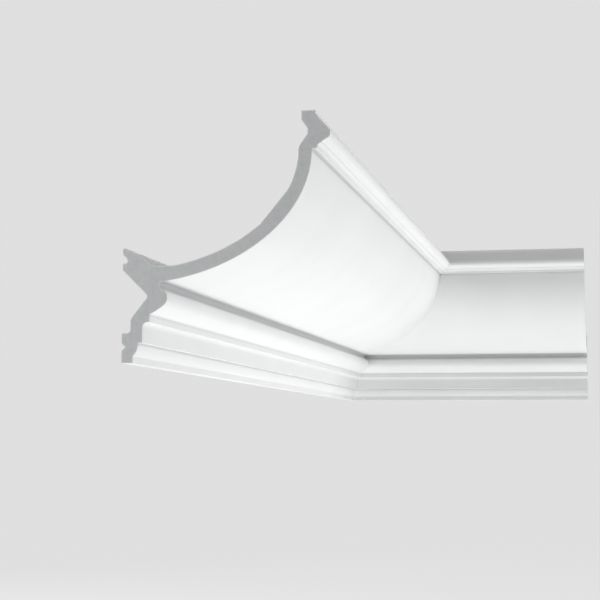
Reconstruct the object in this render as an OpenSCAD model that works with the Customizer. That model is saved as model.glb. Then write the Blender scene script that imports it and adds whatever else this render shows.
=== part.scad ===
// Cornice for an inside corner of a room: two lengths of one moulded section,
// mitred at 45 degrees and closed against each other.
//
// The origin is the inside corner of the two walls, level with the moulding's
// bottom edge. +Z is up, to the ceiling at z = height. The long length lies on
// the wall x = 0 and runs along -Y; the return lies on the wall y = 0 and runs
// along +X. In the section, d is the distance out from the wall and h is the
// height above the bottom edge.

/* [Overall] */
// Height of the moulding on the wall
height = 171; // [145:1:210]
// Projection of the moulding along the ceiling, to its nose
projection = 146; // [120:1:180]
// Length of the long piece, along its wall
long_run = 900; // [500:10:1200]
// Length of the return, along its wall
return_run = 300; // [220:10:600]

/* [Swell] */
// Thickness of the swell
swell_wall = 9.7; // [7:0.1:12]
// Distance from the wall to the centre of the swell's ellipse
swell_centre_d = 5.2; // [3:0.1:8]
// Height of the ellipse's lowest point above the bead's middle
swell_rise = 9.4; // [9:0.1:11.5]
// Distance from the moulding's nose back to the swell's top edge
swell_set_back = 12.7; // [11:0.1:15]
// Where the straight stretch of the back starts, in degrees down the ellipse
straight_from = 40; // [34:1:48]
// Where that stretch ends, in degrees down the ellipse
straight_to = 21; // [16:1:28]

/* [Top band] */
// Drop from the ceiling to the ledge above the swell
ledge_drop = 26.5; // [25:0.1:31]
// Height of the hollow above the ledge
top_hollow_h = 3.9; // [3.2:0.1:4.7]
// Radius of that hollow
top_hollow_r = 3.1; // [2.4:0.1:3.2]
// Distance from the nose back to the step between hollow and bead
top_step_back = 6.2; // [5.2:0.1:7.5]
// Height of that step
top_step_h = 0.8; // [0.5:0.1:1.2]
// Radius of the top bead
top_bead_r = 4.4; // [3.6:0.1:5.2]
// Drop from the ceiling to the top bead's centre
top_bead_drop = 15.8; // [14:0.1:16.6]
// Distance from the nose back to the fillet against the ceiling
fillet_back = 10.4; // [9:0.1:12.5]
// Height of that fillet
fillet_h = 2.6; // [1.5:0.1:4]
// Width of the pad that is glued to the ceiling
ceiling_pad_w = 10; // [8:0.1:12]

/* [Ceiling key] */
// Depth of the key in the back of the top band
top_key_depth = 4.3; // [2.5:0.1:5.2]
// Drop from the ceiling to the key's upper edge
top_key_drop = 6.4; // [5:0.1:8]
// Drop from the ceiling to the key's flat bottom
top_key_flat_drop = 12.4; // [11:0.1:13.5]
// Height of the key's flat bottom
top_key_flat_h = 3.8; // [3:0.1:5]

/* [Lower steps] */
// Projection of the bottom fillet
foot_d = 8.4; // [6.8:0.1:10]
// Height of the bottom fillet
foot_h = 4.7; // [3.5:0.1:6]
// How far the quarter round swells out past that fillet
ovolo_out = 3.9; // [3:0.1:5]
// Height of the quarter round
ovolo_rise = 9.3; // [7.5:0.1:11]
// Width of the ledge under the flat band
band_out = 2.8; // [1.5:0.1:4]
// Height of the flat band with the hollow above it
band_rise = 14; // [11:0.1:17]
// Radius of the hollow above the flat band
hollow_r = 3.6; // [2.5:0.1:4.4]
// How far the neck stands out past the flat band
neck_out = 5; // [4.5:0.1:6]

/* [Bead under the swell] */
// How far the bead stands out past the neck
bead_out = 12.5; // [10.5:0.1:15]
// Height of the bead's middle above the neck's lower edge
bead_rise = 16.8; // [14:0.1:20]
// Radius of the bead's nose
bead_r = 6.5; // [5.4:0.1:7]
// Radius of the slow curve that runs from the neck up to the nose
tail_r = 44; // [36:1:53]
// Slope of that curve where it meets the nose
tail_slope = 40; // [34:1:44]
// Distance from the bead's nose back to the swell's lower edge
edge_back = 3.8; // [3:0.1:4.4]
// Radius of the groove between the bead and the swell
groove_r = 2.3; // [1.9:0.1:2.8]

/* [Wall side] */
// Height of the nib's top above the ellipse's lowest point
nib_rise = 26.2; // [24:0.1:28]
// Slope of the nib's top
nib_slope = 24.5; // [20:0.5:28]
// Distance from the wall to the steeper run down into the hollow
run_d = 12.5; // [10.5:0.1:15]
// Slope of that run
run_slope = 41; // [37:1:46]
// Length of that run
run_len = 12.4; // [10.5:0.1:13.5]
// Height of the upper nib's face on the wall
nib_face_h = 5.1; // [4:0.1:7]
// Height of the glue key between the nibs
key_h = 6.5; // [5.5:0.1:8]
// Height of the lower nib's face on the wall
low_nib_face_h = 4.5; // [3.8:0.1:6]
// Thickness left behind the flat band
steps_wall = 9; // [7.5:0.1:11]
// How much deeper the relief is behind the bead than behind the band
relief_reach = 12.4; // [10:0.1:14]
// Distance of the relief's deepest point above the bead's middle
relief_offset = 1.3; // [0:0.1:3]
// Height of the relief's straight lower part
relief_low_rise = 9.7; // [8:0.1:11.5]
// Height of the pad that is glued to the wall
wall_pad_h = 20.7; // [17.5:0.1:24]
// Height of the middle of the vee groove in that pad
vee_h = 11.1; // [9:0.1:13]
// Width of the vee groove
vee_w = 4.7; // [3:0.1:6]
// Depth of the vee groove before its bottom is rounded
vee_depth = 3; // [2:0.1:4]

/* [Hidden] */

foam_white = [0.93, 0.93, 0.92];
foam_shade = [0.86, 0.87, 0.88];

// How far a chord may stand off its arc, and the largest turn for one chord
sagitta = 0.02;
largest_turn = 15;
// Chords along the swell's front, and along each stretch of its back
front_chords = 44;
back_chords = 26;
short_chords = 10;

// Small radii on the hidden side
nib_r = 1.5;
run_r = 5;
bowl_r = 6;
key_edge_r = 0.5;
key_r = min(2, 0.31 * key_h);
relief_tip_r = 2.2;
relief_bend_r = 3;
pad_r = 2.5;
vee_r = 0.8;
top_key_edge_r = 2;
top_key_bottom_r = 1.2;
top_key_low_r = 1.5;

// The lip where the ceiling key runs out into the swell's back
key_lip = 0.8;
key_lip_h = 2.8;
// Where the swell's back stops following its front, past the swell's lower edge
rear_reach = 10;

// Projections and heights of the steps on the room side, from the bottom up
ovolo_d = foot_d + ovolo_out;
band_d = ovolo_d + band_out;
neck_d = band_d + neck_out;
bead_d = neck_d + bead_out;
edge_d = bead_d - edge_back;
band_h = foot_h + ovolo_rise;
neck_h = band_h + band_rise;
bead_h = neck_h + bead_rise;
swell_low_h = bead_h + swell_rise;
ledge_h = height - ledge_drop;

// How far each plan of a mitred piece reaches past the nose
plan_reach = projection + 10;

// ---- Points, arcs and rounded corners ----

function unit(v) = v / norm(v);
function heading(v) = atan2(v[1], v[0]);
function dir(a) = [cos(a), sin(a)];
function chords(r, turn) =
    max(2, ceil(abs(turn) / min(largest_turn, 2 * acos(1 - min(1, sagitta / r)))));

// An outline is a list of corners [d, h, radius]; a sharp one has radius 0
function sharp(p) = [p[0], p[1], 0];

// Sharp points on an arc round c, from one angle to another
function arc(c, r, from, to) =
    let (n = chords(r, to - from))
    [for (i = [0 : n]) sharp(c + r * dir(from + (to - from) * i / n))];

// Where a line through p, tangent to the circle c, r, touches it: the angle of
// that point, with side 1 for one tangent and -1 for the other
function touch(p, c, r, side) = heading(p - c) + side * acos(r / norm(p - c));

// Points that round the corner q between p and s to radius r
function rounded(p, q, s, r) =
    let (
        u = unit(p - q),
        v = unit(s - q),
        half = acos(u * v) / 2,
        reach = r / tan(half),
        c = q + unit(u + v) * r / sin(half),
        from = heading(q + u * reach - c),
        raw = heading(q + v * reach - c) - from,
        turn = raw > 180 ? raw - 360 : raw < -180 ? raw + 360 : raw,
        n = chords(r, turn)
    )
    [for (i = [0 : n]) c + r * dir(from + turn * i / n)];

function place(corner) = [corner[0], corner[1]];

// The points of a closed outline, each corner rounded to its radius
function outline_points(corners) =
    let (n = len(corners))
    [for (i = [0 : n - 1])
        let (
            q = corners[i],
            before = place(corners[(i + n - 1) % n]),
            after = place(corners[(i + 1) % n])
        )
        each (q[2] == 0 ? [place(q)] : rounded(before, place(q), after, q[2]))];

// ---- Room side ----

// The swell is a quarter of an ellipse: t = -90 is straight below its centre,
// and t = 0 is level with it, at the ledge
swell_centre = [swell_centre_d, ledge_h];
swell_a = projection - swell_set_back - swell_centre_d;
swell_b = ledge_h - swell_low_h;

function swell(t) = swell_centre + [swell_a * cos(t), swell_b * sin(t)];
function swell_normal(t) = unit([cos(t) / swell_a, sin(t) / swell_b]);
function swell_back(t) = swell(t) - swell_wall * swell_normal(t);
function swell_angle(d) = -acos((d - swell_centre_d) / swell_a);

// Bottom fillet, quarter round, flat band with the hollow above it, and neck.
// The quarter round starts on the fillet and is upright where it meets the band
ovolo_r = (ovolo_out ^ 2 + ovolo_rise ^ 2) / (2 * ovolo_out);
ovolo_centre = [ovolo_d - ovolo_r, band_h];
ovolo_start = heading([foot_d, foot_h] - ovolo_centre);

function lower_steps() = concat(
    [[0, 0, 0], [foot_d, 0, 0]],
    arc(ovolo_centre, ovolo_r, ovolo_start, 0),
    [[band_d, band_h, 0]],
    arc([band_d + hollow_r, neck_h - hollow_r], hollow_r, 180, 90),
    [[neck_d, neck_h, 0]]);

// Bead: a slow curve up from the neck, a round nose, and a straight run back
// that is tangent to the nose and to the groove under the swell
bead_centre = [bead_d - bead_r, bead_h];
tail_end = tail_slope - 90;
tail_centre = bead_centre - (tail_r - bead_r) * dir(tail_end);
tail_start = -acos((neck_d - tail_centre[0]) / tail_r);

// The groove keeps to the room that there is between the bead and the swell
edge_t = swell_angle(edge_d);
edge_normal = swell_normal(edge_t);
edge_gap = swell(edge_t) - bead_centre;
groove_room = (edge_gap * edge_gap - bead_r ^ 2) / (2 * (bead_r - edge_gap * edge_normal));
groove = min(groove_r, 0.99 * groove_room);
groove_centre = swell(edge_t) + groove * edge_normal;
bead_to_groove = groove_centre - bead_centre;
run_back = heading(bead_to_groove) - acos((bead_r + groove) / norm(bead_to_groove));
groove_end = heading(-edge_normal);

function bead() = concat(
    arc(tail_centre, tail_r, tail_start, tail_end),
    arc(bead_centre, bead_r, tail_end, run_back),
    arc(groove_centre, groove, run_back + 180, groove_end));

function swell_front() =
    [for (i = [1 : front_chords]) sharp(swell(edge_t * (1 - i / front_chords)))];

// Top band: ledge, hollow, step, bead, slope back to the ceiling, and fillet
step_d = projection - top_step_back;
step_h = ledge_h + top_hollow_h;
top_bead_centre = [projection - top_bead_r, height - top_bead_drop];
bead_foot = [step_d, step_h + top_step_h];
fillet_d = projection - fillet_back;
fillet_foot = [fillet_d, height - fillet_h];

function top_band() = concat(
    [[step_d - top_hollow_r, ledge_h, 0]],
    arc([step_d, step_h - top_hollow_r], top_hollow_r, 180, 90),
    [sharp(bead_foot)],
    arc(top_bead_centre, top_bead_r,
        touch(bead_foot, top_bead_centre, top_bead_r, 1),
        touch(fillet_foot, top_bead_centre, top_bead_r, -1)),
    [sharp(fillet_foot), [fillet_d, height, 0]]);

// ---- Hidden side ----

// Back of the top band, with the key that the ceiling glue grips
pad_back_d = fillet_d - ceiling_pad_w;
key_bottom_d = pad_back_d + top_key_depth;
key_foot_h = height - top_key_flat_drop - top_key_flat_h;
swell_back_d = swell_back(0)[0];

function ceiling_key() = [
    [pad_back_d, height, 0],
    [pad_back_d, height - top_key_drop, top_key_edge_r],
    [key_bottom_d, height - top_key_flat_drop, top_key_bottom_r],
    [key_bottom_d, key_foot_h, top_key_bottom_r],
    [swell_back_d + key_lip, ledge_h + key_lip_h, top_key_low_r]];

// Back of the swell: one thickness behind the front, but for a straight stretch
back_end = swell_angle(edge_d + rear_reach);

function swell_rear() = concat(
    [for (i = [0 : short_chords]) sharp(swell_back(-straight_to * i / short_chords))],
    [for (i = [0 : back_chords])
        sharp(swell_back(-straight_from + (back_end + straight_from) * i / back_chords))]);

// Run from the swell's back up to the nib, glue key, lower nib, relief and pad
nib_top_h = swell_low_h + nib_rise;
run_top = [run_d, nib_top_h - run_d * tan(nib_slope)];
key_top_h = nib_top_h - nib_face_h;
key_foot = key_top_h - key_h;
low_nib_h = key_foot - low_nib_face_h;
relief_low_d = band_d - steps_wall;
relief_low_h = wall_pad_h + relief_low_rise;

run_foot = run_top + run_len * dir(-run_slope);

function wall_side() = [
    [run_foot[0], run_foot[1], bowl_r],
    [run_top[0], run_top[1], run_r],
    [0, nib_top_h, nib_r],
    [0, key_top_h, key_edge_r],
    [key_h, key_foot, key_r],
    [0, key_foot, key_edge_r],
    [0, low_nib_h, nib_r],
    [relief_low_d + relief_reach, bead_h + relief_offset, relief_tip_r],
    [relief_low_d, relief_low_h, relief_bend_r],
    [relief_low_d, wall_pad_h, pad_r],
    [0, wall_pad_h, key_edge_r],
    [0, vee_h + vee_w / 2, 0],
    [vee_depth, vee_h, vee_r],
    [0, vee_h - vee_w / 2, 0]];

// ---- Pieces ----

// The whole section, in millimetres out from the wall and up from the bottom
module section() {
    polygon(outline_points(concat(
        lower_steps(), bead(), swell_front(), top_band(),
        ceiling_key(), swell_rear(), wall_side())));
}

// The long length: the section drawn along -Y, cut square at its far end and
// at 45 degrees in the corner
module long_length() {
    color(foam_white)
    intersection() {
        rotate([90, 0, 0])
            linear_extrude(long_run)
                section();
        linear_extrude(height)
            polygon([
                [0, 0],
                [plan_reach, -plan_reach],
                [plan_reach, -long_run],
                [0, -long_run]]);
    }
}

// The return: the same section drawn along +X, its mitre closing on the long
// length's
module return_length() {
    color(foam_shade)
    intersection() {
        rotate([0, 0, -90])
            mirror([0, 1, 0])
                rotate([90, 0, 0])
                    linear_extrude(return_run)
                        section();
        linear_extrude(height)
            polygon([
                [0, 0],
                [return_run, 0],
                [return_run, -plan_reach],
                [plan_reach, -plan_reach]]);
    }
}

long_length();
return_length();
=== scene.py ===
# %% [markdown]
# # A cornice moulding for an inside corner
#
# A room cornice is sold as a long, light bar of foam with a moulded section: small steps
# low on the wall, a bead, one big swell that carries the eye out into the room, and a narrow
# band that closes against the ceiling. Here two lengths of it meet in the corner of two
# walls. The long length lies on the wall x = 0 and runs along -Y, and the return lies on
# the wall y = 0 and runs along +X. They are mitred at 45 degrees, and their other ends are
# sawn square, so that the bare foam inside shows.
#
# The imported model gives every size. This lesson reads the section from it, draws it again
# with a finer hand, and gives it its paint, its sawn ends and its light.

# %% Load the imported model
import math

import bmesh
import bpy
import numpy as np
from mathutils import Matrix, Vector, noise
from mathutils.geometry import delaunay_2d_cdt


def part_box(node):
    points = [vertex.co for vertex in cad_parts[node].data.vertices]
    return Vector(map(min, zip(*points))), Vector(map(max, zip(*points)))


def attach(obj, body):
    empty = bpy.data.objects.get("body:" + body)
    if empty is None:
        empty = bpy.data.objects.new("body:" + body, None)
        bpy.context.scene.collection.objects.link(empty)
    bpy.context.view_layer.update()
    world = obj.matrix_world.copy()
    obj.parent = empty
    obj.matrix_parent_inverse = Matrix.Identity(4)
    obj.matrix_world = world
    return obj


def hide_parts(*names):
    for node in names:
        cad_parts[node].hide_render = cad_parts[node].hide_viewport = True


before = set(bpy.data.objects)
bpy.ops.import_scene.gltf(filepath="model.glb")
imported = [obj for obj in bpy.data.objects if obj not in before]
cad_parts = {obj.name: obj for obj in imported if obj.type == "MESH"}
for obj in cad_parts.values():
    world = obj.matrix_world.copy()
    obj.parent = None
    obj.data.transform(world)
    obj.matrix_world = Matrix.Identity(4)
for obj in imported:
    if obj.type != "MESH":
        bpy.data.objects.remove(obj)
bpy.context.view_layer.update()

# %% [markdown]
# ## Where the camera stands
#
# A cornice is looked at from below and from along the room. The camera stands near the sawn
# end of the long length, a little under the moulding's bottom edge, and looks slightly up
# and to the left into the corner. A long lens keeps the steps nearly parallel. A constraint
# could aim the camera at a target, but three angles are easier to read and to change, so its
# directions are worked out from those.

# %% Make the camera
camera_spot = Vector((0.3298, -1.8804, -0.0541))
camera_left_turn = math.radians(11.785)
camera_tilt_up = math.radians(5.458)
camera_roll = math.radians(0.184)
lens_mm = 89.9
sensor_mm = 36


def camera_axes(left_turn, tilt_up, roll):
    """The camera's right, up and backward directions in the room."""
    forward = Vector((
        -math.sin(left_turn) * math.cos(tilt_up),
        math.cos(left_turn) * math.cos(tilt_up),
        math.sin(tilt_up)))
    level_right = Vector((math.cos(left_turn), math.sin(left_turn), 0))
    level_up = level_right.cross(forward)
    right = level_right * math.cos(roll) + level_up * math.sin(roll)
    return right, right.cross(forward), -forward


camera_data = bpy.data.cameras.new("camera")
camera_data.lens = lens_mm
camera_data.sensor_width = sensor_mm
camera = bpy.data.objects.new("camera", camera_data)
turn = Matrix(camera_axes(camera_left_turn, camera_tilt_up, camera_roll)).transposed()
camera.matrix_world = Matrix.Translation(camera_spot) @ turn.to_4x4()
bpy.context.scene.collection.objects.link(camera)
bpy.context.scene.camera = camera

# %% [markdown]
# ## How long and how large
#
# A maker measures the run of each wall first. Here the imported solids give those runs, and
# the height and the projection of the section, so nothing has to be typed in a second time
# and nothing can disagree.

# %% Measure the two lengths
mm = 0.001
long_low, long_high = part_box("long_length")
long_run = -long_low.y
return_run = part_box("return_length")[1].x
height = long_high.z
projection = long_high.x
print("long length", round(long_run, 3), "m, return", round(return_run, 3), "m")
print("section", round(height / mm, 1), "mm high,", round(projection / mm, 1), "mm out")

# %% [markdown]
# ## The section
#
# Everything on a moulding follows its section, so the section comes first. It could be drawn
# again from its sizes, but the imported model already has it, exactly, at the square end of
# the long length. The code below takes the triangles of that end and keeps the edges that
# only one of them uses: those are the outline. Walking them one after the other gives a
# closed line of points (d, h), where d is the distance out from the wall and h is the height
# above the moulding's bottom edge.

# %% Read the section from the square end
flat_within = 0.01 * mm
spot_decimals = 7


def enclosed_area(points):
    """The area inside a closed line of points, positive where they run anticlockwise."""
    after = np.roll(points, -1, axis=0)
    return 0.5 * float(np.sum(points[:, 0] * after[:, 1] - after[:, 0] * points[:, 1]))


def section_outline(node, end_y):
    """The outline of the node's flat end at y = end_y, as (d, h) points, anticlockwise."""
    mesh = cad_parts[node].data
    spots = {}
    for vertex in mesh.vertices:
        if abs(vertex.co.y - end_y) < flat_within:
            spots[vertex.index] = (round(vertex.co.x, spot_decimals), round(vertex.co.z, spot_decimals))
    steps = set()
    mesh.calc_loop_triangles()
    for triangle in mesh.loop_triangles:
        if all(index in spots for index in triangle.vertices):
            a, b, c = (spots[index] for index in triangle.vertices)
            steps |= {(a, b), (b, c), (c, a)}
    following = {a: b for a, b in steps if (b, a) not in steps}
    outline = [min(following)]
    while following[outline[-1]] != outline[0]:
        outline.append(following[outline[-1]])
    points = np.array(outline)
    return points if enclosed_area(points) > 0 else points[::-1]


section = section_outline("long_length", long_low.y)
print(len(section), "points round the section,", round(enclosed_area(section) * 1e6), "mm2 of foam")

# %% [markdown]
# ## Softened arrises
#
# An arris is the edge where two faces meet. On a painted moulding no arris is as sharp as a
# drawing: the mould leaves it slightly round, and primer fills the inside corners a little.
# That tiny round is what catches a thin line of light along each step. A bevel modifier
# could add it, but it would also touch the many small turns that make up the curves. It is
# simpler to round the section itself: a corner that turns sharply becomes a small arc, and
# the gentle turns of a curve stay as they are. Where a stretch is very short, the arc takes
# a little less than half of it, so that two arcs never run into each other.

# %% Round the sharp corners of the section
arris_radius = 0.38 * mm
sharp_turn = math.radians(20)
arc_step = math.radians(18)
fewest_arc_steps = 2
longest_cut_share = 0.45


def turned(step, angle):
    """A step on the section, turned to the left by an angle."""
    return np.array([
        step[0] * math.cos(angle) - step[1] * math.sin(angle),
        step[0] * math.sin(angle) + step[1] * math.cos(angle)])


def small_arc(before, corner, after):
    """The points that stand for a corner: an arc where it is sharp, or else the corner itself."""
    into = corner - before
    out = after - corner
    bend = math.atan2(into[0] * out[1] - into[1] * out[0], float(into @ out))
    if abs(bend) < sharp_turn:
        return [corner]
    room = longest_cut_share * min(np.linalg.norm(into), np.linalg.norm(out))
    cut = min(arris_radius * math.tan(abs(bend) / 2), room)
    start = corner - into / np.linalg.norm(into) * cut
    to_centre = np.array([-into[1], into[0]]) / np.linalg.norm(into) * math.copysign(1, bend)
    centre = start + to_centre * (cut / math.tan(abs(bend) / 2))
    steps = max(fewest_arc_steps, round(abs(bend) / arc_step))
    return [centre + turned(start - centre, angle) for angle in np.linspace(0, bend, steps + 1)]


def soften(points):
    """The outline with a small arc in place of each sharp corner."""
    softened = []
    for before, corner, after in zip(np.roll(points, 1, axis=0), points, np.roll(points, -1, axis=0)):
        softened += small_arc(before, corner, after)
    return np.array(softened)


soft_section = soften(section)
print(len(soft_section) - len(section), "points added to soften the arrises")

# %% [markdown]
# ## Even steps round the section
#
# Long straight stretches of the outline get extra points, so that the skin is made of small,
# even faces and the sawn end can be filled with well-shaped triangles. A subdivision
# modifier would add points too, but as many on the small steps, which need none. Each point
# also gets its outward direction, which later draws the section a hair smaller, and its
# place round the section, which the streaks in the paint follow.

# %% Spread the points and find their outward directions
longest_step = 2.2 * mm


def spread(points):
    """The outline with its long stretches cut into equal steps."""
    spread_points = []
    for here, there in zip(points, np.roll(points, -1, axis=0)):
        pieces = max(1, math.ceil(np.linalg.norm(there - here) / longest_step))
        spread_points += [here + (there - here) * i / pieces for i in range(pieces)]
    return np.array(spread_points)


def outward(points):
    """At each point, the step that moves both stretches beside it out by one unit."""
    along = np.roll(points, -1, axis=0) - points
    along /= np.linalg.norm(along, axis=1)[:, None]
    face_out = np.stack([along[:, 1], -along[:, 0]], axis=1)
    both = face_out + np.roll(face_out, 1, axis=0)
    return both / (1 + np.sum(face_out * np.roll(face_out, 1, axis=0), axis=1))[:, None]


ring = spread(soft_section)
ring_out = outward(ring)
steps_round = np.linalg.norm(np.roll(ring, -1, axis=0) - ring, axis=1)
girth = np.concatenate([[0], np.cumsum(steps_round)[:-1]])
print(len(ring), "points in a ring,", round(float(steps_round.sum()), 3), "m round the section")

# %% [markdown]
# ## Nooks
#
# Grooves and inside corners lie in shade, and the primer paints that shade into its colour:
# every inside corner gets a thin, soft, greyer line of painted shade. The finish needs to know
# where those nooks are. The Ambient Occlusion node finds them too, but it feels for them again
# with every ray of light, and takes in whatever else stands near. Here they are measured
# once and kept on the mesh. From each point of the section, short feelers fan out, and a
# feeler that meets the section again tells that something stands in the way. The nearer it
# is, the more it counts.

# %% Feel for the nooks of the section
feeler_length = 11 * mm
feeler_start = 0.05 * mm
feeler_fan = np.radians(np.linspace(-80, 80, 25))
nearly_parallel = 1e-15


def first_touch(start, feeler, points, walls):
    """How far along a feeler it meets the section: its whole length where it meets nothing."""
    crossed = feeler[0] * walls[:, 1] - feeler[1] * walls[:, 0]
    crossed[np.abs(crossed) < nearly_parallel] = nearly_parallel
    to_wall = points - start
    reach = (to_wall[:, 0] * walls[:, 1] - to_wall[:, 1] * walls[:, 0]) / crossed
    share = (to_wall[:, 0] * feeler[1] - to_wall[:, 1] * feeler[0]) / crossed
    hits = reach[(share >= 0) & (share <= 1) & (reach > 0) & (reach < feeler_length)]
    return hits.min() if len(hits) else feeler_length


def feel_nooks(points, outs):
    """For each point, how much of the space in front of it is taken, from 0 to 1."""
    walls = np.roll(points, -1, axis=0) - points
    nooks = []
    for point, out in zip(points, outs / np.linalg.norm(outs, axis=1)[:, None]):
        start = point + out * feeler_start
        taken = 0
        for lean in feeler_fan:
            touch = first_touch(start, turned(out, lean), points, walls)
            taken += math.cos(lean) * (1 - touch / feeler_length)
        nooks.append(taken / np.cos(feeler_fan).sum())
    return np.array(nooks)


nook = feel_nooks(ring, ring_out)
print("deepest nook", round(float(nook.max()), 2), "and middling point", round(float(np.median(nook)), 2))

# %% [markdown]
# ## Inside the outline, and how deep
#
# The bar is cut with a fine saw, and the cut shows the inside of the foam, which sets
# denser, and so paler, just under its skin. So two things have to be known of any spot on
# the cut: whether it is in the foam at all, and how deep it lies. A ray cast against the
# finished mesh could tell, but there is no mesh yet, and on a flat outline both are short
# sums. A spot is inside if a level line from it crosses the outline an odd number of times,
# and its depth is its distance to the nearest stretch.

# %% Tell inside from outside and measure the depth
def skin_distance(points, outline):
    """The distance from each point to the outline."""
    step = np.roll(outline, -1, axis=0) - outline
    to_point = points[:, None, :] - outline
    share = np.clip(np.sum(to_point * step, axis=2) / np.sum(step * step, axis=1), 0, 1)
    return np.linalg.norm(to_point - share[:, :, None] * step, axis=2).min(axis=1)


def lies_inside(points, outline):
    """Whether each point lies inside the outline."""
    step = np.roll(outline, -1, axis=0) - outline
    to_point = points[:, None, :] - outline
    start_below = to_point[:, :, 1] > 0
    end_below = to_point[:, :, 1] - step[:, 1] > 0
    left_of = to_point[:, :, 0] * step[:, 1] - to_point[:, :, 1] * step[:, 0] < 0
    crossings = (start_below != end_below) & (left_of == (step[:, 1] > 0))
    return crossings.sum(axis=1) % 2 == 1


ring_middle = ring.mean(axis=0)[None, :]
print("the outline's middle is in the foam:", bool(lies_inside(ring_middle, ring)[0]))
print("and lies", round(float(skin_distance(ring_middle, ring)[0]) / mm, 1), "mm from it")

# %% [markdown]
# ## Points inside an end
#
# A flat end could be one big face, but then nothing could vary over it. Instead it gets a
# field of points. Rows that are staggered by half a step, as bricks are, make triangles with
# three equal sides. Points that come too near the outline are left out, because they would
# only make slivers with its own points.

# %% Lay a field of points inside the outline
keep_off_share = 0.55
coarse_net = 5 * mm


def field(outline, spacing):
    """Points in staggered rows inside the outline, and their distances to it."""
    low = outline.min(axis=0)
    high = outline.max(axis=0)
    row_gap = spacing * math.sqrt(0.75)
    points = []
    depths = []
    for row in range(int((high[1] - low[1]) / row_gap) + 1):
        across = np.arange(low[0] + spacing / 2 * (row % 2), high[0], spacing)
        line = np.stack([across, np.full(len(across), low[1] + row * row_gap)], axis=1)
        distance = skin_distance(line, outline)
        keep = lies_inside(line, outline) & (distance > keep_off_share * spacing)
        points.append(line[keep])
        depths.append(distance[keep])
    return np.concatenate(points), np.concatenate(depths)


coarse_points, coarse_depths = field(ring, coarse_net)
print(len(coarse_points), "points in a coarse field, up to", round(coarse_depths.max() / mm, 1), "mm deep")

# %% [markdown]
# ## Filling an end
#
# The points become a net of triangles. Joining neighbours in a regular grid would leave a
# ragged border, so a Delaunay triangulation does it: it keeps the outline's own edges and
# makes the triangles between them as even as they can be. The mitre is glued shut and gets
# the coarse net. The sawn ends are seen and get a fine one.

# %% Fill an outline with triangles
fine_net = 0.75 * mm
keep_inside_only = 1
same_point = 1e-9


def fill(outline, spacing):
    """Inner points, their depths, and triangles that count the outline's points first."""
    inner, depths = field(outline, spacing)
    count = len(outline)
    edges = [(i, (i + 1) % count) for i in range(count)]
    corners = [Vector(point) for point in np.concatenate([outline, inner])]
    made = delaunay_2d_cdt(corners, edges, [], keep_inside_only, same_point)
    made_faces, made_from = made[2], made[3]
    triangles = [[made_from[corner][0] for corner in face] for face in made_faces]
    return inner, depths, triangles


print(len(fill(ring, coarse_net)[2]), "triangles in the coarse net of a mitre")

# %% [markdown]
# ## The marks of the saw
#
# A fine saw leaves faint, nearly parallel ridges across the cut, and the open cells of the
# foam make it a little uneven. Bump in the finish could pretend this, but it would be lost
# on the plain mesh. These marks are real shape, even if they are only a few hundredths of a
# millimetre deep, so the points of the end are moved for them. They only ever move into the
# bar, so nothing stands out past the cut and the length stays true.

# %% Work out the saw marks
saw_pitch = 2.6 * mm
saw_depth = 0.05 * mm
saw_slant = math.radians(24)
saw_wander = 3
wander_size = 18 * mm
crumb_size = 1.3 * mm
crumb_depth = 0.05 * mm
firm_rim = 0.8 * mm


def from_0_to_1(wave):
    """A wave between -1 and 1, moved to lie between 0 and 1."""
    return 0.5 + 0.5 * wave


def saw_mark(d, h, depth_in):
    """How far the cut is below flat at a point of the section."""
    spot = Vector((d, h, 0))
    stroke = h * math.cos(saw_slant) + d * math.sin(saw_slant)
    wander = saw_wander * noise.noise(spot / wander_size)
    ridge = from_0_to_1(math.sin(math.tau * stroke / saw_pitch + wander))
    crumb = from_0_to_1(noise.noise(spot / crumb_size))
    fade = min(1, depth_in / firm_rim)
    return fade * (saw_depth * ridge + crumb_depth * crumb)


coarse_marks = [saw_mark(d, h, depth) for (d, h), depth in zip(coarse_points, coarse_depths)]
print("saw marks from", round(min(coarse_marks) / mm, 3), "to", round(max(coarse_marks) / mm, 3), "mm deep")

# %% [markdown]
# ## Rings along a wall
#
# A length is the section swept along its wall: rings of points, one behind the other. A
# curve with a bevel profile could sweep it too, but it can't cut the mitre or fill the ends.
# At the mitre each point stops where the two lengths meet, which is as far from the corner
# as it stands out from its wall. At both ends the last ring is drawn a hair smaller, which
# breaks the sharp edge as a pass with fine paper does, and leaves a hairline where the two
# lengths meet.

# %% Set the rings along a wall
rings_per_metre = 42
sawn_edge = 0.22 * mm
mitre_edge = 0.12 * mm


def rings_along(run):
    """The rings from mitre to cut: each an outline, and its points' distances from the corner."""
    start = ring[:, 0] + mitre_edge
    end = run - sawn_edge
    mitre_ring = ring - mitre_edge * ring_out
    rings = [(mitre_ring, mitre_ring[:, 0])]
    for share in np.linspace(0, 1, math.ceil(rings_per_metre * run) + 1):
        rings.append((ring, start + (end - start) * share))
    rings.append((ring - sawn_edge * ring_out, np.full(len(ring), run)))
    return rings


print(len(rings_along(long_run)), "rings on the long length,", len(rings_along(return_run)), "on the return")

# %% [markdown]
# ## Faces on the rings
#
# Each ring is joined to the next by a belt of four-sided faces, and each end is closed by
# its net of triangles. Blender's own bridge and grid fill tools can do this by hand, but
# here the order of the points is known, so the faces follow from counting. Beside its place,
# every point keeps a row of measures for the finishes.

# %% Join the rings and close the ends
def belts(ring_count):
    """Faces that join each ring to the next one, all the way round."""
    count = len(ring)
    faces = []
    for first in range(0, (ring_count - 1) * count, count):
        for i in range(count):
            j = (i + 1) % count
            faces.append((first + i, first + j, first + count + j, first + count + i))
    return faces


def cap(triangles, first, inner_first):
    """An end's triangles, counted on from its ring's first point and its first inner point."""
    count = len(ring)
    inner_shift = inner_first - count
    return [[i + (first if i < count else inner_shift) for i in triangle] for triangle in triangles]


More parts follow.
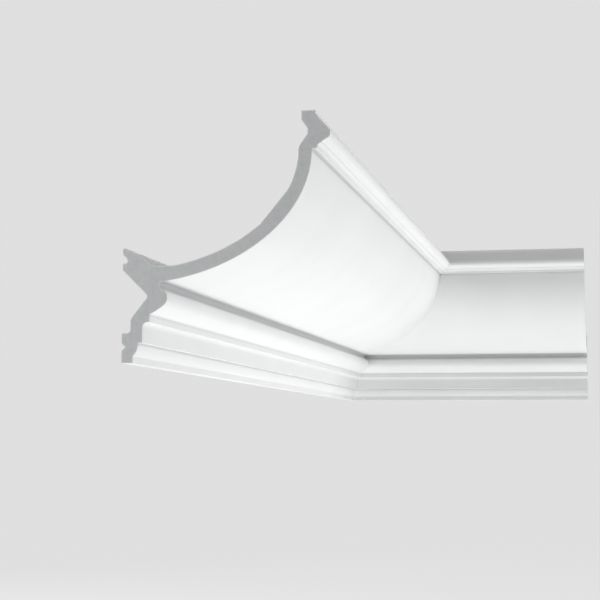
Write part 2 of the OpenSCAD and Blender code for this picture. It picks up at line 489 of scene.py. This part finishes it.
def table(points, away, round_section=0, nooks=0, depth=0):
    """A row for each point: d, away from the corner, h, place round the section, nook, depth."""
    columns = (points[:, 0], away, points[:, 1], round_section, nooks, depth)
    return np.stack(np.broadcast_arrays(*columns), axis=1)


print(len(belts(2)), "faces in a belt,", table(ring, long_run).shape[1], "measures a point")

# %% [markdown]
# ## A closed, smooth object
#
# A mesh is only useful if it is closed and its faces all look outward. `close_up` makes the
# object, turns the faces outward, notes which faces are painted and which are bare foam,
# and stores the measures that the finishes read: how far along the wall a point lies, how
# far round the section, how deep in a nook and how deep under the skin. Flat shading would
# show the facets of the swell, and plain smooth shading would cloud the flat bands. Smooth
# shading with weighted normals keeps the bands flat while their small arrises stay round.

# %% Turn points and faces into an object
flat_face_weight = 80


def face_outward(mesh):
    """Turn the mesh's faces outward, count its open edges and measure its volume."""
    shaper = bmesh.new()
    shaper.from_mesh(mesh)
    bmesh.ops.recalc_face_normals(shaper, faces=shaper.faces)
    open_edges = sum(1 for edge in shaper.edges if not edge.is_manifold)
    volume = shaper.calc_volume()
    shaper.to_mesh(mesh)
    shaper.free()
    return open_edges, volume


def close_up(name, points, faces, painted, measures):
    """A smooth, closed object. The faces after the painted ones take its second finish."""
    mesh = bpy.data.meshes.new(name)
    mesh.from_pydata(points.tolist(), [], faces)
    for index, polygon in enumerate(mesh.polygons):
        polygon.material_index = 0 if index < painted else 1
        polygon.use_smooth = True
    for measure, values in measures.items():
        attribute = mesh.attributes.new(measure, "FLOAT", "POINT")
        attribute.data.foreach_set("value", values.astype(np.float32))
    open_edges, volume = face_outward(mesh)
    piece = bpy.data.objects.new(name, mesh)
    bpy.context.scene.collection.objects.link(piece)
    weighted = piece.modifiers.new("even_shading", "WEIGHTED_NORMAL")
    weighted.weight = flat_face_weight
    weighted.keep_sharp = True
    triangles = sum(len(polygon.vertices) - 2 for polygon in mesh.polygons)
    print(name, triangles, "triangles,", open_edges, "open edges,", round(volume * 1e6), "cm3")
    return piece


# %% [markdown]
# ## The two lengths
#
# A carpenter cuts both lengths from the same stock, and mitres one to the left and one to
# the right. Mirroring the long length would turn its mitre round, but leave it too long for
# the return. Both are swept by one function instead, each with its own run. Only the way a
# point is placed on its wall differs between them.

# %% Sweep both lengths
def on_long_wall(d, away, h):
    """Points of the long length: d out from its wall, and away from the corner along it."""
    return np.stack([d, -away, h], axis=1)


def on_return_wall(d, away, h):
    """The same points on the return's wall."""
    return np.stack([away, -d, h], axis=1)


def sweep(name, run, place):
    """One closed length of moulding, from the mitre to its sawn end."""
    rings = rings_along(run)
    rows = [table(outline, away, girth, nook) for outline, away in rings]
    faces = belts(len(rings))
    painted = len(faces)

    mitre_inner = len(rings) * len(ring)
    inner, depths, triangles = fill(rings[0][0], coarse_net)
    rows.append(table(inner, inner[:, 0], depth=depths))
    faces += cap(triangles, 0, mitre_inner)

    sawn_inner = mitre_inner + len(inner)
    inner, depths, triangles = fill(rings[-1][0], fine_net)
    marks = np.array([saw_mark(d, h, depth) for (d, h), depth in zip(inner, depths)])
    rows.append(table(inner, run - marks, depth=depths))
    faces += cap(triangles, mitre_inner - len(ring), sawn_inner)

    d, away, h, round_section, nooks, depth = np.concatenate(rows).T
    return close_up(name, place(d, away, h), faces, painted, {
        "along_wall": away, "round_section": round_section, "nook": nooks, "skin_depth": depth})


long_moulding = sweep("long_length_moulding", long_run, on_long_wall)
return_moulding = sweep("return_length_moulding", return_run, on_return_wall)

# %% [markdown]
# ## Starting a finish
#
# In Blender a finish is a small graph of nodes that ends in one Principled shader. It can be
# wired by hand in the shader editor, but a finish that is written down can be read, changed
# and made again. `feed` gives a node's sockets either a plain value or what another node
# makes, and `add` puts in a node and feeds it. `measured` fetches one of the measures that
# the mesh carries.

# %% Helpers that start a finish
def new_finish(name):
    """An empty material, its node tree and its Principled shader."""
    finish = bpy.data.materials.new(name)
    finish.use_nodes = True
    return finish, finish.node_tree, finish.node_tree.nodes["Principled BSDF"]


def feed(node, sockets):
    """Link each named socket to what another node makes, or set it to a plain value."""
    for name, value in sockets.items():
        if isinstance(value, bpy.types.NodeSocket):
            node.id_data.links.new(value, node.inputs[name])
        else:
            node.inputs[name].default_value = value


def add(tree, kind, sockets=None, **settings):
    """A new node of that kind, with its settings made and its sockets fed."""
    made = tree.nodes.new(kind)
    for setting, value in settings.items():
        setattr(made, setting, value)
    feed(made, sockets or {})
    return made


def measured(tree, name):
    """A measure that the mesh carries."""
    return add(tree, "ShaderNodeAttribute", attribute_name=name).outputs["Fac"]


carried = [measure.name for measure in long_moulding.data.attributes if measure.data_type == "FLOAT"]
print("the mesh carries", carried)

# %% [markdown]
# ## Grain, range and blend
#
# Paint and foam both look alive because their tone wanders. Three small recipes serve for
# all of it: `grain` makes noise, `rescale` stretches it to the range that is wanted, and
# `blend_colours` lets it choose between two colours. Each could be wired anew every time,
# but a helper keeps the finishes short. Blender asks for the scale of a noise. A maker
# thinks in the size of a grain, so `grain` takes that, and turns it round.

# %% Helpers for grain, range and blend
def grain(tree, spots, size, detail=1):
    """Soft noise whose grains are about that size, in metres, from 0 to 1."""
    return add(tree, "ShaderNodeTexNoise", {
        "Vector": spots, "Scale": 1 / size, "Detail": detail}).outputs["Fac"]


def rescale(tree, value, to_range, from_range=(0, 1)):
    """The value moved from one range to another."""
    return add(tree, "ShaderNodeMapRange", {
        "Value": value, "From Min": from_range[0], "From Max": from_range[1],
        "To Min": to_range[0], "To Max": to_range[1]}).outputs["Result"]


def blend_colours(tree, share, first, second):
    """A mix of two colours, or of what feeds them."""
    return add(tree, "ShaderNodeMix", {
        "Factor": share, "A": first, "B": second}, data_type="RGBA").outputs["Result"]


print("grains of a millimetre need a noise scale of", round(1 / mm))

# %% [markdown]
# ## The primer's colour
#
# These mouldings leave the factory with a white, water-based primer. Its tone differs a
# little from place to place, which the eye reads as real paint even where it can't name it.
# In the nooks the colour is painted greyer, as painted shade for the grooves. One flat colour
# would look like plastic, and painting the tones by hand would need the mesh laid out flat.
# Noise in the object's own space does without: slow clouds blend two whites, and the nooks
# blend in the painted shade grey.

# %% Colour of the primer
primer_white = (0.86, 0.865, 0.865, 1)
primer_shade = (0.83, 0.837, 0.84, 1)
# The grey below is painted shade, which the inside corners take in place of their shade.
painted_nook_shade = (0.42, 0.425, 0.43, 1)
cloud_size = 70 * mm
cloud_edge = (0.35, 0.75)
nook_shade_range = (0.1, 0.55)


def primer_colour(tree, spots):
    """Clouds of two whites, and painted shade grey in the nooks."""
    clouds = rescale(tree, grain(tree, spots, cloud_size, detail=3), (0, 1), cloud_edge)
    coat = blend_colours(tree, clouds, primer_white, primer_shade)
    # Painted shade: the deeper the nook, the more of the grey it takes.
    thin = rescale(tree, measured(tree, "nook"), (0, 1), nook_shade_range)
    return blend_colours(tree, thin, coat, painted_nook_shade)


# How much painted shade the nooks put into the coat, taken all round.
painted_shade_share = np.mean(np.clip((nook - nook_shade_range[0]) / (nook_shade_range[1] - nook_shade_range[0]), 0, 1))
print("taken all round, the nooks thin the coat by", round(100 * float(painted_shade_share)), "%")

# %% [markdown]
# ## The primer's surface
#
# Sprayed primer has a fine orange peel, about a millimetre and a half from bump to bump,
# with a finer tooth on it, and under it very faint streaks that run the way the bar was
# drawn. Moved points would need millions of faces for relief this fine, so it is bump: each
# layer bends the light a little on top of the last. The streaks come from noise that is
# stretched fifty times along the wall.

# %% Relief of the primer
streak_width = 1.1 * mm
streak_stretch = 50
streak_depth = 0.003 * mm
peel_size = 1.5 * mm
peel_depth = 0.012 * mm
tooth_size = 0.35 * mm
tooth_depth = 0.003 * mm


def relief(tree, height_value, depth, below=None):
    """A layer of relief of that depth in metres, on top of the layer below."""
    made = add(tree, "ShaderNodeBump", {"Strength": 1, "Distance": depth, "Height": height_value})
    if below is not None:
        feed(made, {"Normal": below})
    return made.outputs["Normal"]


def primer_relief(tree, spots):
    """Streaks along the wall, orange peel over them, and a fine tooth on top."""
    drawn = add(tree, "ShaderNodeCombineXYZ", {
        "X": measured(tree, "round_section"),
        "Y": rescale(tree, measured(tree, "along_wall"), (0, 1 / streak_stretch))}).outputs["Vector"]
    streaks = relief(tree, grain(tree, drawn, streak_width), streak_depth)
    peel = relief(tree, grain(tree, spots, peel_size), peel_depth, streaks)
    return relief(tree, grain(tree, spots, tooth_size), tooth_depth, peel)


print("primer relief", round((streak_depth + peel_depth + tooth_depth) / mm, 3), "mm in all")

# %% [markdown]
# ## The primed skin
#
# Colour and relief meet in the shader. The sheen of this primer is satin, neither matt nor
# glossy, and it wanders in patches of about a centimetre, so that highlights along the beads
# break up a little. Colour, gloss and relief each have a grain of their own, so that they
# don't repeat one another.

# %% Primed white skin
gloss_patch = 9 * mm
satin_roughness = (0.44, 0.58)
primer_ior = 1.46


def primed_skin():
    """Satin white primer over drawn foam."""
    finish, tree, shader = new_finish("primed_white")
    spots = add(tree, "ShaderNodeTexCoord").outputs["Object"]
    feed(shader, {
        "Base Color": primer_colour(tree, spots),
        "Roughness": rescale(tree, grain(tree, spots, gloss_patch, detail=3), satin_roughness),
        "Normal": primer_relief(tree, spots),
        "IOR": primer_ior})
    return finish


skin_finish = primed_skin()
print("primed skin", len(skin_finish.node_tree.nodes), "nodes, white", primer_white[:3])

# %% [markdown]
# ## The sawn foam
#
# Cut open, the foam is a cool grey with cells of about half a millimetre, each a tiny dark
# cup with a paler wall. There are far too many cups to model, and Voronoi cells have just
# this look. A wider mottling lies over them, and the last millimetre under the skin is
# denser and paler, which draws the section's outline as a fine light line. The mesh carries
# each point's depth under the skin, so that line follows every turn of the section.

# %% Colour of the foam
foam_grey = (0.60, 0.615, 0.62, 1)
foam_pore = (0.47, 0.488, 0.494, 1)
foam_rim = (0.70, 0.713, 0.716, 1)
cup_edge = (0.1, 0.45)
cup_darkness = 0.8
mottle_edge = (0.4, 0.8)
mottle_darkness = 0.5
rim_edge = (0.1 * mm, 0.9 * mm)


def foam_colour(tree, cells, mottle):
    """Dark cups in grey foam, a wider mottling over them and a pale rim."""
    cups = rescale(tree, cells, (1, 0), cup_edge)
    pores = blend_colours(tree, rescale(tree, cups, (0, cup_darkness)), foam_grey, foam_pore)
    clouds = rescale(tree, mottle, (0, mottle_darkness), mottle_edge)
    broad = blend_colours(tree, clouds, pores, foam_pore)
    under_skin = rescale(tree, measured(tree, "skin_depth"), (1, 0), rim_edge)
    return blend_colours(tree, under_skin, broad, foam_rim)


print("foam", foam_grey[:3], "with pores", foam_pore[:3], "and rim", foam_rim[:3])

# %% [markdown]
# ## The feel of the cut
#
# Sawn foam is dull and dry to the touch, so it is much rougher than the primer and has
# little shine. The saw marks are already in the mesh. What is left is finer: the torn
# surface between the ridges, and the hollow of each cell, which reuses the cells that the
# colour is made from, so that each dark cup is also the deep one.

# %% Bare sawn foam
cell_size = 0.55 * mm
mottle_size = 4 * mm
tear_size = 0.9 * mm
tear_depth = 0.06 * mm
cell_depth = 0.05 * mm
foam_roughness = (0.78, 0.95)
foam_shine = 0.3


def sawn_foam():
    """Open cells, a wider mottling and a denser rim."""
    finish, tree, shader = new_finish("sawn_foam")
    spots = add(tree, "ShaderNodeTexCoord").outputs["Object"]
    cells = add(tree, "ShaderNodeTexVoronoi", {
        "Vector": spots, "Scale": 1 / cell_size}).outputs["Distance"]
    mottle = grain(tree, spots, mottle_size, detail=4)
    torn = relief(tree, grain(tree, spots, tear_size, detail=3), tear_depth)
    feed(shader, {
        "Base Color": foam_colour(tree, cells, mottle),
        "Roughness": rescale(tree, mottle, foam_roughness),
        "Normal": relief(tree, cells, cell_depth, torn),
        "Specular IOR Level": foam_shine})
    return finish


foam_finish = sawn_foam()
print("sawn foam", len(foam_finish.node_tree.nodes), "nodes, cells of", round(cell_size / mm, 2), "mm")

# %% [markdown]
# ## Fix the lengths in place
#
# Both lengths stand still, so they ride on the model's one body. Each stands for the plain
# solid of the same length, which stays in the model for collisions and isn't shown. Every
# skin face takes the first finish and every end face the second, as `close_up` noted.

# %% Give each length its finish, body and solid
for moulding, node in ((long_moulding, "long_length"), (return_moulding, "return_length")):
    moulding.data.materials.append(skin_finish)
    moulding.data.materials.append(foam_finish)
    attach(moulding, "root")
    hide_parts(node)
    print(moulding.name, "stands for", node)

# %% [markdown]
# ## The dome
#
# Round everything stands a plain dome, which is what a room's far walls are to the
# moulding. It has two jobs that pull apart. As a light it must be faint, because an even
# light from all sides would wash out the steps. To the eye it is a pale grey, only a little
# darker than the lit primer, so that the white steps stand out from it. One strength could
# not do both. The Light Path node can, because it tells whether a ray comes from the camera
# or gathers light.

# %% Set the dome
backdrop_grey = 0.74
dome_level = 0.09


def grey(level):
    """An even grey as a colour."""
    return (level, level, level, 1)


def larger(tree, first, second):
    """The larger of two values."""
    made = add(tree, "ShaderNodeMath", operation="MAXIMUM")
    tree.links.new(first, made.inputs[0])
    tree.links.new(second, made.inputs[1])
    return made.outputs["Value"]


def seen_directly(tree):
    """1 where the camera or a reflection looks, 0 where light is gathered."""
    rays = add(tree, "ShaderNodeLightPath").outputs
    mirrored = larger(tree, rays["Is Glossy Ray"], rays["Is Transmission Ray"])
    return larger(tree, rays["Is Camera Ray"], mirrored)


world = bpy.data.worlds.new("dome")
bpy.context.scene.world = world
world.use_nodes = True
dome = world.node_tree
feed(dome.nodes["Background"], {
    "Color": grey(1),
    "Strength": rescale(dome, seen_directly(dome), (dome_level, backdrop_grey))})
print("the dome lights with", dome_level, "and is seen as", backdrop_grey)

# %% [markdown]
# ## The floor
#
# The moulding hangs up by the ceiling, so the floor lies well below it. It sends on light as
# a pale floor does. If it were also seen that way, each lamp would leave a bright pool on
# it, so to the eye it is mostly an even glow in the backdrop's grey. A small part of it
# still takes light, which keeps the soft shadow of the moulding. The glow fills in just what
# the dome doesn't reach, and floor and dome meet at the horizon without a line.

# %% Make the floor
floor_colour = 0.80
floor_seen = 0.12
floor_roughness = 0.9
floor_drop = 0.62
floor_reach = 30


def pale_floor():
    """A matt floor that is pale to the light and evenly pale to the eye."""
    finish, tree, shader = new_finish("pale_floor")
    seen = seen_directly(tree)
    glow = backdrop_grey - floor_seen * dome_level
    feed(shader, {
        "Base Color": blend_colours(tree, seen, grey(floor_colour), grey(floor_seen)),
        "Roughness": floor_roughness,
        "Specular IOR Level": 0,
        "Emission Color": grey(1),
        "Emission Strength": rescale(tree, seen, (0, glow))})
    return finish


floor_mesh = bpy.data.meshes.new("floor")
square = ((-1, -1), (1, -1), (1, 1), (-1, 1))
floor_corners = [(x * floor_reach, y * floor_reach, -floor_drop) for x, y in square]
floor_mesh.from_pydata(floor_corners, [], [(0, 1, 2, 3)])
floor_mesh.materials.append(pale_floor())
floor = bpy.data.objects.new("floor", floor_mesh)
bpy.context.scene.collection.objects.link(floor)
print("floor", floor_drop, "m below the moulding, out to", floor_reach, "m")

# %% [markdown]
# ## Soft light
#
# White on white is drawn by light alone, so each soft lamp has one job. A sun would draw
# hard shadows on the small steps, so all of them are broad rectangles. Two lie low under
# the moulding and look straight up: the undersides of the swell and the beads are the
# brightest, and the faces that lean up to the ceiling fall into a quiet grey, which a high
# lamp out in the room keeps from going dark. A lamp far to the right, just behind the line
# of the return's wall, only grazes the return, so it lifts the long length alone, and that
# difference is what shows the mitre. A small lamp stands off the sawn end, on the far side
# of the long wall, where it reaches little but the bare foam. The last one lights the backs,
# which nobody sees from the room.

# %% Place the lamps
middle = Vector((projection / 2, -long_run / 2, height / 2))
sawn_middle = Vector((projection / 2, -long_run, height / 2))
lamp_lift = 0.04
under = lamp_lift - floor_drop


def soft_light(name, spot, towards, size, watts):
    """A rectangular lamp of that size at a spot, turned towards a point."""
    data = bpy.data.lights.new(name, "AREA")
    data.shape = "RECTANGLE"
    data.size, data.size_y = size
    data.energy = watts
    lamp = bpy.data.objects.new(name, data)
    lamp.location = spot
    lamp.rotation_mode = "QUATERNION"
    lamp.rotation_quaternion = (Vector(towards) - Vector(spot)).to_track_quat("-Z", "Y")
    lamp.visible_camera = False
    bpy.context.scene.collection.objects.link(lamp)
    print(name, watts, "W at", [round(value, 2) for value in spot])


soft_light("under_the_corner", (0.3, -0.5, under), (0.3, -0.5, 0), (1.0, 1.4), watts=3.8)
soft_light("under_the_long_length", (0.14, -0.6, under), (0.14, -0.6, 0), (0.25, 1.2), watts=1.35)
soft_light("from_the_room", (1.8, -0.6, 1.6), middle, (1.4, 1.4), watts=17.5)
soft_light("past_the_return", (2.6, 0.2, 0.4), middle, (1.2, 1.2), watts=22)
soft_light("on_the_sawn_end", (-0.35, -1.6, 0.3), sawn_middle, (0.5, 0.5), watts=4.3)
soft_light("behind_the_walls", (-3.0, 2.2, 1.8), middle, (2.4, 2.4), watts=110)

# %% [markdown]
# ## Finish
#
# The Standard view shows colours as they are written.

# %% Set the view and finish
bpy.context.scene.view_settings.view_transform = "Standard"
